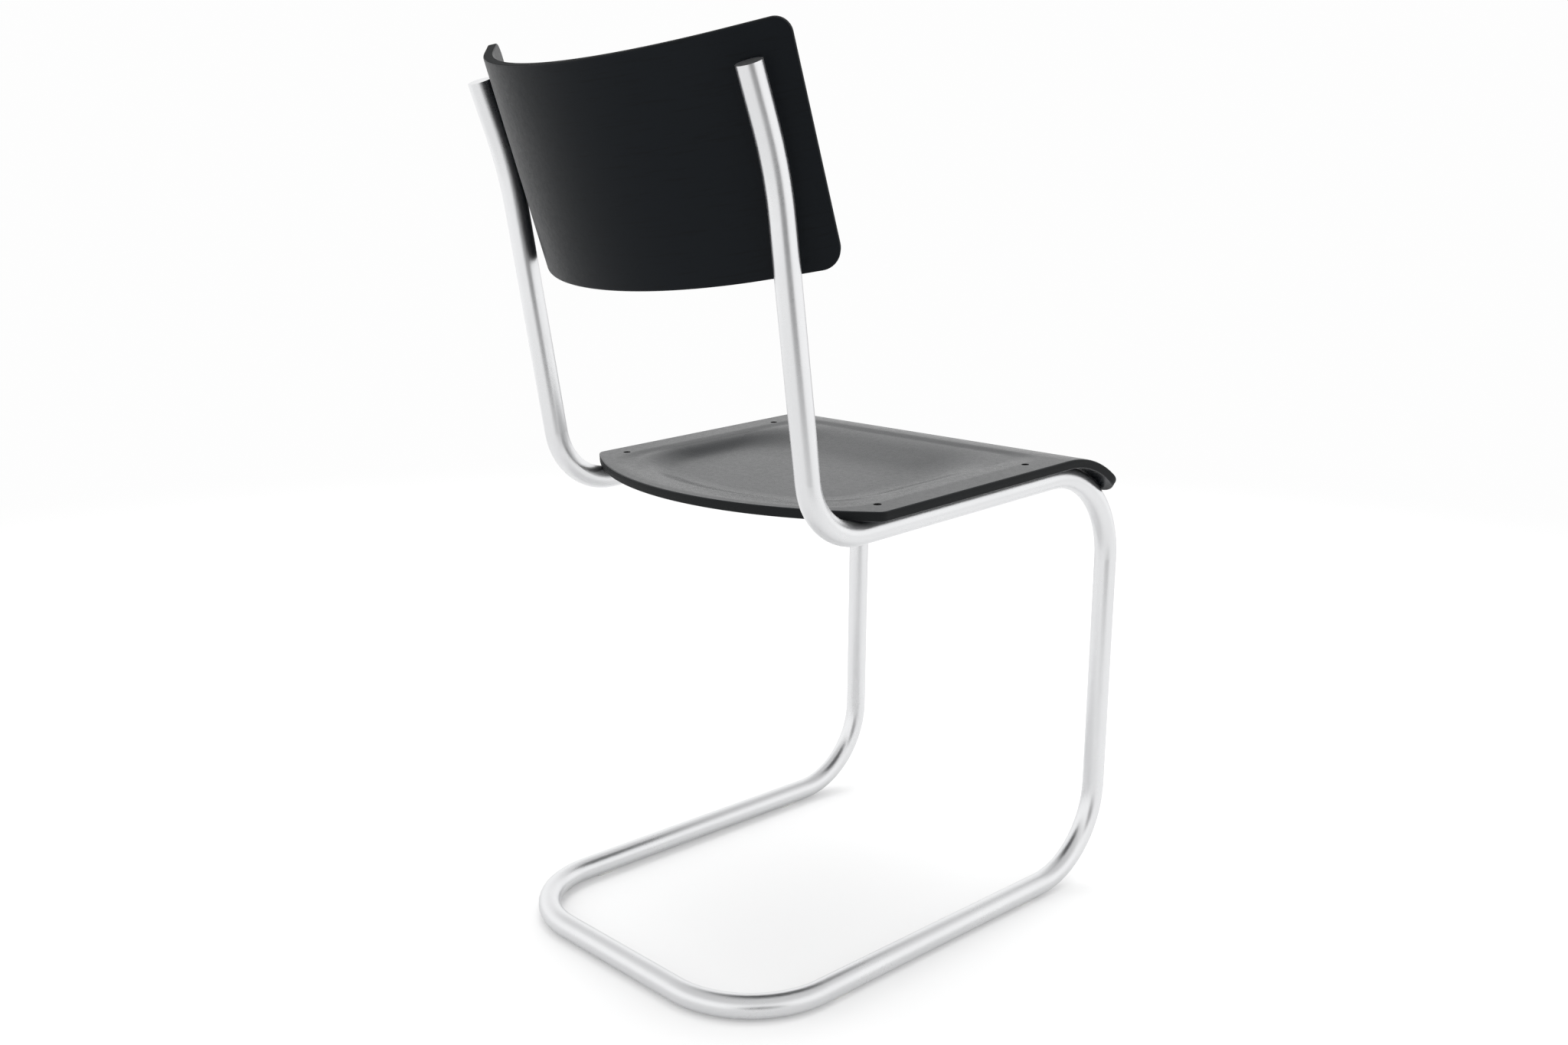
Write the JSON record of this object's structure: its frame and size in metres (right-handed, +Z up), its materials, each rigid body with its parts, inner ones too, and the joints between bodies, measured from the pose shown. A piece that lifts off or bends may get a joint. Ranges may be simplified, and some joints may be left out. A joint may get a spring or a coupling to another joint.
{
  "type": "cantilever chair",
  "caption": "Cantilever side chair: one bent steel tube carries a moulded plywood seat and a curved plywood backrest on a free-swinging frame.",
  "frame": {"origin": "on the floor, under the middle of the chair's overall width and depth", "axes": "+Z up, -Y the way the sitter faces, +X to the sitter's left, so X runs across the chair"},
  "size_m": [0.392, 0.5749, 0.8354],
  "materials": {
    "tube_steel": "satin silver",
    "cap_metal": "satin silver",
    "black_plywood": "black stained and lacquered, satin",
    "black_screw": "black oxide, satin",
    "insert_steel": "zinc plated",
    "glide_plastic": "matt, light grey"
  },
  "bodies": {
    "root": {"frame_tube": "tube_steel", "tube_cap_left": "cap_metal", "tube_cap_right": "cap_metal", "seat_shell": "black_plywood", "back_shell": "black_plywood", "seat_screw_front_left": "black_screw", "seat_screw_front_right": "black_screw", "seat_screw_rear_left": "black_screw", "seat_screw_rear_right": "black_screw", "back_screw_upper_left": "black_screw", "back_screw_upper_right": "black_screw", "back_screw_lower_left": "black_screw", "back_screw_lower_right": "black_screw", "seat_insert_front_left": "insert_steel", "seat_insert_front_right": "insert_steel", "seat_insert_rear_left": "insert_steel", "seat_insert_rear_right": "insert_steel", "back_insert_upper_left": "insert_steel", "back_insert_upper_right": "insert_steel", "back_insert_lower_left": "insert_steel", "back_insert_lower_right": "insert_steel", "glide_front_left": "glide_plastic", "glide_front_right": "glide_plastic", "glide_rear_left": "glide_plastic", "glide_rear_right": "glide_plastic"}
  },
  "joints": []
}
